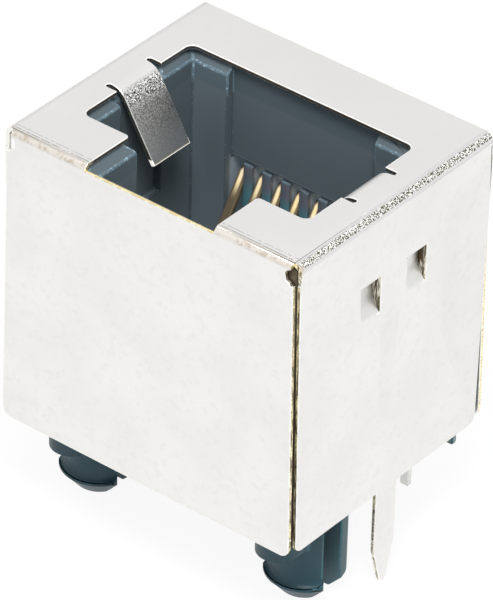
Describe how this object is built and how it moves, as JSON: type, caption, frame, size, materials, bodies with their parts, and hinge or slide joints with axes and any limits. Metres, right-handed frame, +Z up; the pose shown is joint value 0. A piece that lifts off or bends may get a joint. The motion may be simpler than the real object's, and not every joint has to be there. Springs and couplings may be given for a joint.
{
  "type": "board-mount modular jack",
  "caption": "Upright shielded modular jack for a circuit board, taking an eight-way plug from above, with snap-in pegs and solder tails.",
  "frame": {"origin": "on the circuit board's upper face, midway between the axes of the two snap-in pegs", "axes": "+X across the plug towards contact 8, +Y from the latch side to the contact side, +Z up out of the board, the way the plug is pulled out"},
  "size_m": [0.0158, 0.0133, 0.0199],
  "materials": {
    "tinned_sheet": "satin tin plate with bare brass at the cut edges",
    "housing_plastic": "fine satin moulding",
    "carrier_plastic": "fine satin moulding",
    "gilt_contact": "smooth gold plate"
  },
  "bodies": {
    "root": {"shield": "tinned_sheet", "housing": "housing_plastic", "contact_carrier": "carrier_plastic", "contact_1": "gilt_contact", "contact_2": "gilt_contact", "contact_3": "gilt_contact", "contact_4": "gilt_contact", "contact_5": "gilt_contact", "contact_6": "gilt_contact", "contact_7": "gilt_contact", "contact_8": "gilt_contact"}
  },
  "joints": []
}
